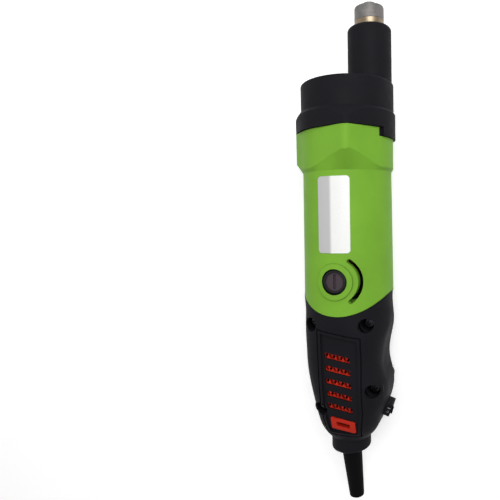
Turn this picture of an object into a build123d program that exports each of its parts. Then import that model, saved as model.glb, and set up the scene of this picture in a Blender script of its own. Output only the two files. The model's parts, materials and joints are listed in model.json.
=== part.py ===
"""Hand-held oscillating cast saw, without its blade: all sizes in millimetres.

Model frame: Y runs along the motor axis towards the nose, X towards the switch and
the nose tube, Z out of the vented front.  Y = 0 is the seam between gear head and
motor housing.  Every piece is moved at the end so that the origin is the centre of
the blade seat.
"""
import math
import os

from build123d import *

os.makedirs("parts", exist_ok=True)

# Clearances
SEAM = 0.3            # open seam between two mouldings
FIT = 0.05            # seat of a bearing, radial
RUN = 0.06            # running fit of a shaft, radial
FREE = 0.4            # gap round a moving piece
WALL = 2.6            # wall of the mouldings

# Motor housing
TUBE_FRONT_R = 27.04
TUBE_REAR_R = 27.86
FLANGE_R = 28.27
FLANGE_DEPTH = 23.9
FLANGE_SLOPE = 0.67   # radius lost per millimetre along the chamfer
RIDGE_R = 33.8        # front ridge of flange and skirt
RIDGE_ANGLE = 16.7    # ridge from the front, towards the switch side
RIDGE_ROUND = 4.5
CORNER_R = 30.9       # squared left side of flange and skirt
CORNER_ANGLE = 19.0
CORNER_ROUND = 4.0
FOOT_HALF = 13.5      # flat on the back of flange and skirt, so the tool lies still
FOOT_RISE = 0.2       # flat beyond the round skirt
TONGUE_LOW = 107.5    # lowest point of the tongue below the seam
TONGUE_RISE = 10.1
TONGUE_HALF = 25.5
BORE_R = 23.8
SPIGOT_END = 108.0
SPIGOT_R = TUBE_REAR_R - WALL - 0.2
BRUSH_Y = -87.3
CAP_R = 7.0
CAP_DEPTH = 4.2
BOSS_R = 10.6
BOSS_RISE = 0.9
BRUSH_W = 8.0
BRUSH_H = 6.0
BRUSH_L = 9.0
BRUSH_PLAY = 0.15
HOLDER_WALL = 0.45
HOLDER_GAP = 0.1
HOLDER_W = BRUSH_W + 2 * (BRUSH_PLAY + HOLDER_WALL)
HOLDER_H = BRUSH_H + 2 * (BRUSH_PLAY + HOLDER_WALL)
AIR_SLOT_R = 14.6
AIR_SLOT_W = 2.6

# Label
LABEL_W = 19.0
LABEL_TOP = -27.3
LABEL_END = -70.9
LABEL_T = 0.25

# Gear head
DRUM_R = 28.12
DRUM_SHIFT = 0.6      # drum centre from the motor axis, towards the nose
DRUM_TOP = 28.2
DRUM_ROUND = 1.4
STEP_TOP = 11.9
STEP_FOOT = 8.2
SKIRT_R = 29.7
CAVITY_R = 23.4
CAVITY_TOP = 23.0
LUG_DROP = 4.6
LUG_HALF = 30.0
LUG_PAD_HALF = 26.5
LUG_INNER_R = 26.0
NOSE_OFFSET = 15.1
NOSE_R = 13.0
NOSE_END = 61.2
NOSE_ROUND = 3.4
SCREW_PCR = 20.8
SCREW_R = 2.0
PILLAR_R = 3.9
PLATE_HALF = 4.0

# Spindle stack
SPINDLE_R = 5.0
SPINDLE_FOOT = 5.6
COLLAR_R = 8.7
COLLAR_TOP = 63.9
SEAT_Y = 72.8
PILOT_R = 4.0
PILOT_H = 1.5
BLADE_THREAD_R = 2.5
BLADE_THREAD_DEPTH = 12.0
SPINDLE_BEARING_R = 9.5
SPINDLE_BEARING_W = 5.0
FRONT_BEARING_Y = 50.9
MOUTH_R = COLLAR_R + FREE

# Rotor
ECCENTRICITY = 0.75
SHAFT_R = 4.0
SHAFT_REAR_R = 3.0
SHAFT_REAR_END = -107.2
CORE_SHAFT_R = 5.0
ECCENTRIC_R = 3.5
ECCENTRIC_BEARING_R = 7.0
ECCENTRIC_Y = 7.0
ECCENTRIC_W = 5.0
CORE_R = 13.0
CORE_TOP = -32.0
CORE_END = -66.0
AIR_GAP = 0.5
WIND_R = 11.8
WIND_L = 5.0
FAN_R = 20.4
FAN_TOP = -13.2
FAN_END = -23.6
COMM_R = 9.0
COMM_TOP = -77.0
COMM_END = -96.0
FRONT_BEARING_OUT = 11.0
FRONT_BEARING_W = 7.0
REAR_BEARING_OUT = 9.5
REAR_BEARING_W = 6.0
REAR_BEARING_Y = -106.0
SLEEVE_T = 1.3
CUP_WALL = 2.4

# Stator
STATOR_R = 22.6
YOKE_R = 19.6
POLE_NECK = 6.5
SHOE_T = 1.7
COIL_REACH = 5.0
SHOE_WIDTH = 18.0
COIL_WIDTH = 24.0

# Handle
PANEL_GROOVE = 0.8    # groove round the panel border
PANEL_DEPTH = 1.3
PANEL_BORDER = 2.4
PANEL_LEFT = -11.4
PANEL_RIGHT = 13.2
PANEL_TOP = -119.0
PANEL_TURN = -166.0
PANEL_FOOT = -182.0
PANEL_FOOT_RIGHT = 10.6
SLOT_X = -0.5
SLOT_DRIFT = 0.12     # each slot sits a little further to the switch side
SLOT_W = 15.6
VENT_SLANT = 9.0      # slots and panel top fall towards the switch side
SLOT_H = 3.7
SLOT_FIRST = -132.9
SLOT_PITCH = 7.8
SLOT_COUNT = 5
WINDOW_X = 1.3
WINDOW_W = 15.6
WINDOW_H = 8.3
WINDOW_Y = -175.1
SCREEN_T = 1.6
SCREEN_GAP = 0.1
WINDOW_RISE = 0.7     # red frame above the panel floor
MESH_COUNT = 7
MESH_W = 1.35
MESH_LEAN = 24.0
SCREEN_SINK = 1.0
HANDLE_SCREW_R = 1.9
RECESS_R = 4.2
RECESS_SEAT = 12.0
BOSS_WALL = 1.8
UPPER_RIGHT = (16.7, -113.1)
UPPER_LEFT = (-17.3, -114.3)
LOWER_RIGHT = (19.6, -152.2)
LOWER_LEFT = (-12.5, -166.2)
COLLAR_OUT_R = 12.55
COLLAR_START = -188.5
COLLAR_END = -197.5
COLLAR_ROUND = 2.0
GUARD_ROOT_R = 6.75
GUARD_TIP_R = 4.65
GUARD_L = 32.9
GUARD_LEAN = 5.4
GUARD_FLANGE_R = 9.0
GUARD_FLANGE_W = 3.0
CORD_R = 3.4
CLAMP_X = 7.0
CLAMP_Y = -182.6
CLAMP_POST_Z = 6.0
CLAMP_T = 2.6

# Switch
SWITCH_Y = -168.0
SWITCH_X = 22.7
SWITCH_SLOPE = 17.5
BEZEL_L = 8.0
BEZEL_W = 12.0
BEZEL_T = 4.4
SWITCH_BODY_L = 7.0
SWITCH_BODY_W = 10.6
SWITCH_BODY_D = 12.0
ROCKER_L = 4.6
ROCKER_W = 9.0
ROCKER_HALF = 4.0     # half width of the rocker over its paddles
ROCKER_TOP = 2.6      # paddles above the pivot
ROCKER_DIP = 1.9
ROCKER_FOOT = 1.6
ROCKER_FOOT_HALF = 3.2
ROCKER_THROW = 20.0
PIVOT_RISE = 2.4      # pivot above the switch seat
PIVOT_R = 1.0
PIVOT_REACH = 0.8     # pivot pin in each wall of the bezel

TUBE_DRAFT = (TUBE_REAR_R - TUBE_FRONT_R) / (TONGUE_LOW - FLANGE_DEPTH)


def across(y):
    """Plane square to the motor axis, facing the nose; local Y points to the back."""
    return Plane(origin=(0, y, 0), x_dir=(1, 0, 0), z_dir=(0, 1, 0))


def along(x):
    """Plane through an axis parallel to the motor axis."""
    return Plane(origin=(x, 0, 0), x_dir=(1, 0, 0), z_dir=(0, 0, 1))


def axis_at(x):
    return Axis((x, 0, 0), (0, 1, 0))


def tube_radius(y):
    """Outer radius of the drafted motor housing."""
    return TUBE_FRONT_R + TUBE_DRAFT * (-FLANGE_DEPTH - y)


def turned(profile, x=0):
    """Solid of revolution from (radius, y) points about the axis at x."""
    with BuildPart() as solid:
        with BuildSketch(along(x)):
            with BuildLine():
                Polyline(*profile, close=True)
            make_face()
        revolve(axis=axis_at(x))
    return solid.part


def ring(inner, outer, low, high, x=0):
    return turned([(inner, low), (outer, low), (outer, high), (inner, high)], x)


def rod(radius, low, high, x=0):
    return turned([(0, low), (radius, low), (radius, high), (0, high)], x)


def ball_bearing(bore, outer, low, width, x=0):
    """Shielded ball bearing with the shields set back between the races."""
    race = (outer - bore) * 0.22
    dip = 0.35
    high = low + width
    profile = [(bore, low), (bore + race, low), (bore + race, low + dip)]
    profile += [(outer - race, low + dip), (outer - race, low), (outer, low)]
    profile += [(outer, high), (outer - race, high), (outer - race, high - dip)]
    profile += [(bore + race, high - dip), (bore + race, high), (bore, high)]
    return turned(profile, x)


def flange_outline(radius, y, grow=0):
    """Round outline with the front ridge, the squared left side and the flat back."""
    ridge = math.radians(RIDGE_ANGLE)
    ridge_at = RIDGE_R + grow - RIDGE_ROUND
    corner = math.radians(CORNER_ANGLE)
    corner_x = (CORNER_R + grow - CORNER_ROUND) * math.cos(corner)
    corner_y = (CORNER_R + grow - CORNER_ROUND) * math.sin(corner)
    foot_y = SKIRT_R + FOOT_RISE + grow - CORNER_ROUND
    with BuildSketch(across(y)) as outline:
        with BuildLine():
            CenterArc((0, 0), radius, 0, 360)
            CenterArc((ridge_at * math.sin(ridge), -ridge_at * math.cos(ridge)), RIDGE_ROUND, 0, 360)
            CenterArc((-corner_x, -corner_y), CORNER_ROUND, 0, 360)
            CenterArc((-corner_x, corner_y), CORNER_ROUND, 0, 360)
            CenterArc((-FOOT_HALF, foot_y), CORNER_ROUND, 0, 360)
            CenterArc((FOOT_HALF, foot_y), CORNER_ROUND, 0, 360)
        make_hull()
    return outline.sketch


def sector(inner, outer, half_angle, y):
    """Ring sector on the nose side."""
    reach = 2 * outer
    spread = math.radians(half_angle)
    with BuildSketch(across(y)) as shape:
        with BuildLine():
            Polyline(
                (0, 0),
                (reach * math.cos(spread), -reach * math.sin(spread)),
                (reach, -reach * math.sin(spread)),
                (reach, reach * math.sin(spread)),
                (reach * math.cos(spread), reach * math.sin(spread)),
                close=True,
            )
        make_face()
        Circle(outer, mode=Mode.INTERSECT)
        Circle(inner, mode=Mode.SUBTRACT)
    return shape.sketch


def tongue_face(rear_shift):
    """Front-view area in front of the tongue edge, moved to the rear by rear_shift."""
    low = -TONGUE_LOW - rear_shift
    radius = (TONGUE_HALF**2 + TONGUE_RISE**2) / (2 * TONGUE_RISE)
    half = 1.25 * TONGUE_HALF
    rise = radius - math.sqrt(radius**2 - half**2)
    with BuildSketch(Plane.XY) as area:
        with BuildLine():
            ThreePointArc((-half, low + rise), (0, low), (half, low + rise))
            Polyline((half, low + rise), (half, 10), (-half, 10), (-half, low + rise))
        make_face()
    return area.sketch


HEAD_SCREW_ANGLES = (110.0, 180.0, 250.0)


def head_screw_spots(y):
    turn = [math.radians(a) for a in HEAD_SCREW_ANGLES]
    return [across(y) * Pos(SCREW_PCR * math.cos(a), SCREW_PCR * math.sin(a)) for a in turn]


# Gear head: drum, skirt, nose tube and the lug that hooks into the flange
with BuildPart() as gear_head:
    extrude(flange_outline(SKIRT_R, SEAM), amount=STEP_TOP - SEAM)
    with BuildSketch(Plane.XY):
        with BuildLine():
            step_rate = (CORNER_R - DRUM_R) / (STEP_TOP - STEP_FOOT)
            step_reach = 1.2 * RIDGE_R
            Polyline(
                (0, -STEP_TOP),
                (step_reach, -STEP_TOP),
                (step_reach, STEP_TOP - (step_reach - DRUM_R) / step_rate),
                (DRUM_R, STEP_TOP),
                (0, STEP_TOP),
                close=True,
            )
        make_face()
    revolve(axis=Axis.Y, mode=Mode.INTERSECT)
    with BuildSketch(across(SEAM)):
        with Locations((DRUM_SHIFT, 0)):
            Circle(DRUM_R)
    extrude(amount=DRUM_TOP - SEAM)
    fillet(gear_head.edges().group_by(Axis.Y)[-1], DRUM_ROUND)
    with BuildSketch(across(DRUM_TOP - 2 * DRUM_ROUND)):
        with Locations((NOSE_OFFSET, 0)):
            Circle(NOSE_R)
    extrude(amount=NOSE_END - DRUM_TOP + 2 * DRUM_ROUND)
    fillet(gear_head.edges().group_by(Axis.Y)[-1], NOSE_ROUND)
    lug_length = LUG_DROP + STEP_FOOT / 2
    extrude(sector(LUG_INNER_R, SKIRT_R - 1.6, LUG_HALF, STEP_FOOT / 2), amount=-lug_length)
    extrude(sector(LUG_INNER_R, SKIRT_R, LUG_PAD_HALF, STEP_FOOT / 2), amount=-lug_length)
    with BuildSketch(across(0)):
        Circle(CAVITY_R)
        with Locations(*[(SCREW_PCR * math.cos(math.radians(a)), SCREW_PCR * math.sin(math.radians(a)))
                         for a in HEAD_SCREW_ANGLES]):
            Circle(PILLAR_R, mode=Mode.SUBTRACT)
    extrude(amount=CAVITY_TOP, mode=Mode.SUBTRACT)
    bearing_bore_end = FRONT_BEARING_Y + SPINDLE_BEARING_W + 1.5
    add(rod(SPINDLE_BEARING_R + FIT, CAVITY_TOP - 1, bearing_bore_end, NOSE_OFFSET), mode=Mode.SUBTRACT)
    add(rod(MOUTH_R, CAVITY_TOP, NOSE_END + 1, NOSE_OFFSET), mode=Mode.SUBTRACT)
    with Locations(*head_screw_spots(DRUM_TOP)):
        CounterBoreHole(SCREW_R + 0.2, PILLAR_R, 4.0, DRUM_TOP + 2)

# Motor housing: drafted tube, ridged flange, brush bosses and rear bearing wall
with BuildPart() as boss_form:
    with BuildSketch(Plane.XY):
        with Locations((0, BRUSH_Y)):
            Circle(BOSS_R)
    extrude(amount=2 * TUBE_REAR_R, both=True)
    add(turned([(0, 0), (tube_radius(0) + BOSS_RISE, 0),
                (tube_radius(-TONGUE_LOW) + BOSS_RISE, -TONGUE_LOW), (0, -TONGUE_LOW)]), mode=Mode.INTERSECT)

with BuildPart() as motor_housing:
    extrude(flange_outline(FLANGE_R, 0), amount=-FLANGE_DEPTH)
    with BuildSketch(Plane.XY):
        with BuildLine():
            chamfer_reach = 1.2 * RIDGE_R
            Polyline(
                (0, 0),
                (chamfer_reach, 0),
                (chamfer_reach, (chamfer_reach - TUBE_FRONT_R) / FLANGE_SLOPE - FLANGE_DEPTH),
                (TUBE_FRONT_R, -FLANGE_DEPTH),
                (0, -FLANGE_DEPTH),
                close=True,
            )
        make_face()
    revolve(axis=Axis.Y, mode=Mode.INTERSECT)
    add(turned([(0, 0), (TUBE_FRONT_R, 0), (TUBE_FRONT_R, -FLANGE_DEPTH),
                (TUBE_REAR_R, -TONGUE_LOW), (TUBE_REAR_R, -TONGUE_LOW - 8), (0, -TONGUE_LOW - 8)]))
    add(boss_form.part)
    extrude(tongue_face(0), amount=2 * TUBE_REAR_R, both=True, mode=Mode.INTERSECT)
    add(rod(SPIGOT_R, -SPIGOT_END, BRUSH_Y))
    add(rod(CAVITY_R + 0.15, -PLATE_HALF - 0.1, 1), mode=Mode.SUBTRACT)
    add(rod(BORE_R, REAR_BEARING_Y, 0 - PLATE_HALF), mode=Mode.SUBTRACT)
    add(rod(SPIGOT_R - WALL, -SPIGOT_END - 1, REAR_BEARING_Y - CUP_WALL), mode=Mode.SUBTRACT)
    # notch for the lug of the gear head
    notch = sector(LUG_INNER_R - SEAM, 2 * RIDGE_R, LUG_HALF + 1.2, 1)
    extrude(notch, amount=-LUG_DROP - 1 - SEAM, mode=Mode.SUBTRACT)
    # screw bosses at the front
    with BuildSketch(across(-PLATE_HALF - 0.1)):
        with Locations(*[(SCREW_PCR * math.cos(math.radians(a)), SCREW_PCR * math.sin(math.radians(a)))
                         for a in HEAD_SCREW_ANGLES]):
            Circle(PILLAR_R)
    extrude(amount=-8.4)
    with Locations(*head_screw_spots(-PLATE_HALF - 0.1)):
        Hole(SCREW_R + 0.02, 8.4)
    # rear bearing cup
    add(ring(REAR_BEARING_OUT + SLEEVE_T + FIT, REAR_BEARING_OUT + SLEEVE_T + CUP_WALL,
             REAR_BEARING_Y - 0.5, REAR_BEARING_Y + REAR_BEARING_W))
    add(rod(SHAFT_R + 1, -SPIGOT_END, REAR_BEARING_Y), mode=Mode.SUBTRACT)
    # air passages in the rear wall
    with BuildSketch(across(-SPIGOT_END)):
        with PolarLocations((REAR_BEARING_OUT + SLEEVE_T + CUP_WALL + BORE_R) / 2, 4, start_angle=0):
            Circle((BORE_R - REAR_BEARING_OUT - SLEEVE_T - CUP_WALL) / 2 - 1)
    extrude(amount=SPIGOT_END + REAR_BEARING_Y, mode=Mode.SUBTRACT)
    # ribs that carry the stator
    with BuildSketch(across(CORE_END)):
        with PolarLocations((STATOR_R + BORE_R) / 2 + 0.3, 4, start_angle=45):
            Rectangle(BORE_R - STATOR_R + 0.4, 5)
    extrude(amount=CORE_TOP - CORE_END)
    add(rod(STATOR_R + FIT, CORE_END - 1, CORE_TOP + 1), mode=Mode.SUBTRACT)
    # brush tunnels, cap seats and the curved air slots round them
    with BuildSketch(Plane.XY):
        with Locations((0, BRUSH_Y)):
            Circle(BOSS_R - 1.5)
    extrude(amount=TUBE_REAR_R - 1, both=True)
    add(rod(COMM_R + 4.5, REAR_BEARING_Y + REAR_BEARING_W + 0.2, CORE_END - 6), mode=Mode.SUBTRACT)
    with BuildSketch(Plane.XY):
        with Locations((0, BRUSH_Y)):
            Rectangle(HOLDER_W + 2 * HOLDER_GAP, HOLDER_H + 2 * HOLDER_GAP)
    extrude(amount=TUBE_REAR_R, both=True, mode=Mode.SUBTRACT)
    with BuildSketch(Plane.XY.offset(TUBE_REAR_R - CAP_DEPTH)):
        with Locations((0, BRUSH_Y)):
            Circle(CAP_R + 0.25)
    extrude(amount=2 * CAP_DEPTH, mode=Mode.SUBTRACT)
    with BuildSketch(Plane.XY.offset(-TUBE_REAR_R + CAP_DEPTH)):
        with Locations((0, BRUSH_Y)):
            Circle(CAP_R + 0.25)
    extrude(amount=-2 * CAP_DEPTH, mode=Mode.SUBTRACT)
    with BuildSketch(Plane.XY):
        with Locations((0, BRUSH_Y)):
            SlotArc(CenterArc((0, 0), AIR_SLOT_R, -51, 105), AIR_SLOT_W)
    extrude(amount=2 * TUBE_REAR_R, both=True, mode=Mode.SUBTRACT)
    # lugs that take the upper handle screws
    with BuildSketch(Plane.XY):
        with Locations(UPPER_RIGHT, UPPER_LEFT):
            Circle(RECESS_R)
        for x, y in (UPPER_RIGHT, UPPER_LEFT):
            with Locations((x, (y - SPIGOT_END) / 2 + 0.5)):
                Rectangle(5, -y - SPIGOT_END + 3.5)
        with Locations(UPPER_RIGHT, UPPER_LEFT):
            Circle(HANDLE_SCREW_R + 0.3, mode=Mode.SUBTRACT)
    extrude(amount=RECESS_SEAT - BOSS_WALL - 0.2, both=True)

with BuildPart() as rating_label:
    with BuildSketch(Plane.XY):
        with Locations((0, (LABEL_TOP + LABEL_END) / 2)):
            RectangleRounded(LABEL_W, LABEL_TOP - LABEL_END, 2)
    extrude(amount=2 * TUBE_REAR_R)
    add(turned([(tube_radius(0) + 0.02, 0), (tube_radius(0) + LABEL_T, 0),
                (tube_radius(-TONGUE_LOW) + LABEL_T, -TONGUE_LOW),
                (tube_radius(-TONGUE_LOW) + 0.02, -TONGUE_LOW)]), mode=Mode.INTERSECT)

with BuildPart() as head_screws:
    with Locations(*head_screw_spots(DRUM_TOP - 4.0)):
        Cylinder(PILLAR_R - 0.5, 2.6, align=(Align.CENTER, Align.CENTER, Align.MIN))
        with Locations((0, 0, 2.6)):
            Box(5.0, 0.9, 2.4, mode=Mode.SUBTRACT)
            Box(0.9, 5.0, 2.4, mode=Mode.SUBTRACT)
    with Locations(*head_screw_spots(DRUM_TOP - 4.0)):
        Cylinder(SCREW_R, DRUM_TOP - 4.0 + PLATE_HALF + 7.5, align=(Align.CENTER, Align.CENTER, Align.MAX))

with BuildPart() as bearing_plate:
    add(rod(CAVITY_R - 0.1, -PLATE_HALF, PLATE_HALF))
    add(rod(FRONT_BEARING_OUT + FIT, -PLATE_HALF - 1, PLATE_HALF - 0.6), mode=Mode.SUBTRACT)
    add(rod(FRONT_BEARING_OUT - 2, -PLATE_HALF, PLATE_HALF + 1), mode=Mode.SUBTRACT)
    with BuildSketch(across(-PLATE_HALF)):
        with Locations(*[(SCREW_PCR * math.cos(math.radians(a)), SCREW_PCR * math.sin(math.radians(a)))
                         for a in HEAD_SCREW_ANGLES]):
            Circle(PILLAR_R + SEAM)
    extrude(amount=2 * PLATE_HALF, mode=Mode.SUBTRACT)

front_motor_bearing = ball_bearing(
    SHAFT_R + RUN, FRONT_BEARING_OUT, PLATE_HALF - 0.6 - FRONT_BEARING_W, FRONT_BEARING_W)
rear_motor_bearing = ball_bearing(SHAFT_REAR_R + RUN, REAR_BEARING_OUT, REAR_BEARING_Y, REAR_BEARING_W)
rear_bearing_sleeve = ring(
    REAR_BEARING_OUT + FIT, REAR_BEARING_OUT + SLEEVE_T, REAR_BEARING_Y, REAR_BEARING_Y + REAR_BEARING_W)

# Stator: laminated yoke with two poles towards the sides, and its saddle coils
with BuildPart() as stator_core:
    with BuildSketch(across(CORE_END)):
        Circle(STATOR_R)
        Circle(YOKE_R, mode=Mode.SUBTRACT)
        Rectangle(2 * YOKE_R + 1, 2 * POLE_NECK)
        Rectangle(2 * (CORE_R + AIR_GAP + SHOE_T), SHOE_WIDTH)
        Circle(STATOR_R, mode=Mode.INTERSECT)
        Circle(CORE_R + AIR_GAP, mode=Mode.SUBTRACT)
    extrude(amount=CORE_TOP - CORE_END)

with BuildPart() as field_coils:
    with BuildSketch(across(CORE_END - COIL_REACH)):
        Circle(YOKE_R - SEAM)
        Circle(CORE_R + AIR_GAP + SHOE_T + 1.0, mode=Mode.SUBTRACT)
        Rectangle(3 * YOKE_R, COIL_WIDTH, mode=Mode.INTERSECT)
        Rectangle(2 * (CORE_R + AIR_GAP), 2 * COIL_WIDTH, mode=Mode.SUBTRACT)
    extrude(amount=CORE_TOP - CORE_END + 2 * COIL_REACH)
    with BuildSketch(across(CORE_END - SEAM)):
        Rectangle(3 * YOKE_R, 2 * POLE_NECK + 2 * SEAM)
        Rectangle(2 * (CORE_R + AIR_GAP + SHOE_T + SEAM), SHOE_WIDTH + 2 * SEAM)
    extrude(amount=CORE_TOP - CORE_END + 2 * SEAM, mode=Mode.SUBTRACT)

fan_baffle = ring(FAN_R - 4.0, BORE_R - FIT, CORE_TOP + COIL_REACH + 0.3, CORE_TOP + COIL_REACH + 1.8)

# Rotor
with BuildPart() as motor_shaft:
    add(turned([
        (0, SHAFT_REAR_END), (SHAFT_REAR_R, SHAFT_REAR_END), (SHAFT_REAR_R, COMM_END - 1),
        (CORE_SHAFT_R, COMM_END - 1), (CORE_SHAFT_R, FAN_TOP), (SHAFT_R, FAN_TOP + 1),
        (SHAFT_R, ECCENTRIC_Y - 1.2), (0, ECCENTRIC_Y - 1.2)]))
    with BuildSketch(across(ECCENTRIC_Y - 1.2)):
        with Locations((-ECCENTRICITY, 0)):
            Circle(ECCENTRIC_R)
    extrude(amount=ECCENTRIC_W + 3.2)
    with BuildSketch(across(ECCENTRIC_Y - 1.2)):
        with Locations((-ECCENTRICITY, 0)):
            Circle(ECCENTRIC_R + 1.2)
    extrude(amount=1.1)

with BuildPart() as armature_core:
    with BuildSketch(across(CORE_END)):
        Circle(CORE_R)
        with PolarLocations(CORE_R - 2.2, 12):
            Circle(1.7, mode=Mode.SUBTRACT)
            with Locations((2, 0)):
                Rectangle(4, 1.2, mode=Mode.SUBTRACT)
        Circle(CORE_SHAFT_R + FIT, mode=Mode.SUBTRACT)
    extrude(amount=CORE_TOP - CORE_END)

with BuildPart() as armature_winding:
    add(ring(CORE_SHAFT_R + FIT, WIND_R, CORE_END - WIND_L, CORE_END - 0.05))
    add(ring(CORE_SHAFT_R + FIT, WIND_R, CORE_TOP + 0.05, CORE_TOP + WIND_L))
    fillet(armature_winding.edges().filter_by(GeomType.CIRCLE).sort_by(SortBy.RADIUS)[-4:], 1.4)

with BuildPart() as commutator:
    add(ring(CORE_SHAFT_R + FIT, COMM_R, COMM_END, COMM_TOP))
    add(ring(CORE_SHAFT_R + FIT, COMM_R + 1.6, COMM_TOP, COMM_TOP + 3.0))
    with BuildSketch(across(COMM_END)):
        with PolarLocations(COMM_R, 24):
            Rectangle(1.4, 0.5)
    extrude(amount=COMM_TOP - COMM_END, mode=Mode.SUBTRACT)

with BuildPart() as cooling_fan:
    add(ring(CORE_SHAFT_R + FIT, 8.0, FAN_END, FAN_TOP - 0.3))
    add(ring(7.5, FAN_R, FAN_END, FAN_END + 1.6))
    with BuildSketch(across(FAN_END + 1.5)):
        with PolarLocations((FAN_R + 7.5) / 2, 11):
            Rectangle(FAN_R - 7.8, 1.3, rotation=24)
        Circle(FAN_R, mode=Mode.INTERSECT)
    extrude(amount=7.2)

with BuildPart() as eccentric_bearing:
    add(ball_bearing(ECCENTRIC_R + FIT, ECCENTRIC_BEARING_R, ECCENTRIC_Y, ECCENTRIC_W, -ECCENTRICITY))

eccentric_clip = ring(
    ECCENTRIC_R + FIT, ECCENTRIC_R + 2.0, ECCENTRIC_Y + ECCENTRIC_W + 0.1, ECCENTRIC_Y + ECCENTRIC_W + 1.1,
    -ECCENTRICITY)

# Brush gear, front and back
with BuildPart() as brush_holders:
    with BuildSketch(Plane.XY.offset(COMM_R + 2.0)):
        with Locations((0, BRUSH_Y)):
            Rectangle(HOLDER_W, HOLDER_H)
            Rectangle(BRUSH_W + 2 * BRUSH_PLAY, BRUSH_H + 2 * BRUSH_PLAY, mode=Mode.SUBTRACT)
    extrude(amount=TUBE_REAR_R - CAP_DEPTH - COMM_R - 2.2)
    mirror(about=Plane.XY)

with BuildPart() as carbon_brushes:
    with BuildSketch(Plane.XY.offset(COMM_R + FREE)):
        with Locations((0, BRUSH_Y)):
            Rectangle(BRUSH_W, BRUSH_H)
    extrude(amount=BRUSH_L)
    mirror(about=Plane.XY)

with BuildPart() as brush_springs:
    with BuildSketch(Plane.XY.offset(COMM_R + FREE + BRUSH_L + FIT)):
        with Locations((0, BRUSH_Y)):
            Circle(2.5)
            Circle(1.5, mode=Mode.SUBTRACT)
    extrude(amount=TUBE_REAR_R - CAP_DEPTH - COMM_R - FREE - BRUSH_L - 2 * FIT)
    mirror(about=Plane.XY)

with BuildPart() as brush_caps:
    with BuildSketch(Plane.XY.offset(TUBE_REAR_R - CAP_DEPTH + 0.02)):
        with Locations((0, BRUSH_Y)):
            Circle(CAP_R)
    extrude(amount=CAP_DEPTH - 0.25)
    fillet(brush_caps.edges().group_by(Axis.Z)[-1], 0.7)
    with BuildSketch(Plane.XY.offset(TUBE_REAR_R - 1.1)):
        with Locations((0, BRUSH_Y)):
            Circle(5.3)
    extrude(amount=2, mode=Mode.SUBTRACT)
    with BuildSketch(Plane.XY.offset(TUBE_REAR_R - 2.6)):
        with Locations((0, BRUSH_Y)):
            Rectangle(1.7, 8.6)
    extrude(amount=4, mode=Mode.SUBTRACT)
    mirror(about=Plane.XY)

# Spindle with its bearings, fork and blade flange
with BuildPart() as spindle:
    add(rod(SPINDLE_R, SPINDLE_FOOT, SEAT_Y - 1.0, NOSE_OFFSET))
    add(rod(BLADE_THREAD_R + 0.6, SEAT_Y - BLADE_THREAD_DEPTH - 2, SEAT_Y, NOSE_OFFSET), mode=Mode.SUBTRACT)

with BuildPart() as blade_flange:
    shank_end = SEAT_Y - BLADE_THREAD_DEPTH - 1.9
    add(turned([(0, shank_end), (BLADE_THREAD_R + 0.55, shank_end),
                (BLADE_THREAD_R + 0.55, SEAT_Y - 0.95), (COLLAR_R, SEAT_Y - 0.95),
                (COLLAR_R, SEAT_Y), (PILOT_R, SEAT_Y), (PILOT_R, SEAT_Y + PILOT_H), (0, SEAT_Y + PILOT_H)],
               NOSE_OFFSET))
    add(ring(SPINDLE_R + FIT, COLLAR_R, COLLAR_TOP + 0.02, SEAT_Y - 0.9, NOSE_OFFSET))
    add(rod(BLADE_THREAD_R, SEAT_Y + PILOT_H - BLADE_THREAD_DEPTH, SEAT_Y + PILOT_H + 1, NOSE_OFFSET),
        mode=Mode.SUBTRACT)

nose_bush = ring(
    SPINDLE_R + FIT, COLLAR_R, FRONT_BEARING_Y + SPINDLE_BEARING_W + 1.7, COLLAR_TOP, NOSE_OFFSET)
front_spindle_bearing = ball_bearing(
    SPINDLE_R + RUN, SPINDLE_BEARING_R, FRONT_BEARING_Y, SPINDLE_BEARING_W, NOSE_OFFSET)
rear_spindle_bearing = ball_bearing(
    SPINDLE_R + RUN, SPINDLE_BEARING_R, CAVITY_TOP, SPINDLE_BEARING_W, NOSE_OFFSET)
bearing_spacer = ring(
    SPINDLE_R + RUN + 1.6, SPINDLE_BEARING_R - FIT,
    CAVITY_TOP + SPINDLE_BEARING_W + FIT, FRONT_BEARING_Y - FIT, NOSE_OFFSET)
spindle_clip = ring(SPINDLE_R + FIT, SPINDLE_R + 2.2, CAVITY_TOP - 1.4, CAVITY_TOP - 0.3, NOSE_OFFSET)

SWING = math.degrees(math.asin(ECCENTRICITY / NOSE_OFFSET))
FORK_TIP = ECCENTRIC_BEARING_R - 2.0
FORK_HALF_SLOT = (ECCENTRIC_BEARING_R + ECCENTRICITY
                  + (NOSE_OFFSET + FORK_TIP) * math.sin(math.radians(SWING)) + 0.3)
FORK_HALF_OUT = FORK_HALF_SLOT + 2.8

with BuildPart() as drive_fork:
    with BuildSketch(across(ECCENTRIC_Y - 0.4)):
        with Locations((NOSE_OFFSET, 0)):
            Circle(8.2)
        with Locations((NOSE_OFFSET / 2 - FORK_TIP / 2, 0)):
            Rectangle(NOSE_OFFSET + FORK_TIP, 2 * FORK_HALF_OUT)
        Circle(CAVITY_R - 3.0, mode=Mode.INTERSECT)
        with Locations((-FORK_TIP, 0)):
            Rectangle(2 * FORK_TIP, 2 * FORK_HALF_SLOT, mode=Mode.SUBTRACT)
        with BuildLine():
            Polyline((-0.1, -FORK_HALF_SLOT), (ECCENTRIC_BEARING_R + 1.6, -FORK_HALF_SLOT * 0.55),
                     (ECCENTRIC_BEARING_R + 1.6, FORK_HALF_SLOT * 0.55), (-0.1, FORK_HALF_SLOT), close=True)
        make_face(mode=Mode.SUBTRACT)
        Circle(ECCENTRIC_BEARING_R + 2 * ECCENTRICITY + FREE, mode=Mode.SUBTRACT)
        with Locations((NOSE_OFFSET, 0)):
            Circle(SPINDLE_R + FIT, mode=Mode.SUBTRACT)
    extrude(amount=ECCENTRIC_W + 0.8)

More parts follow.
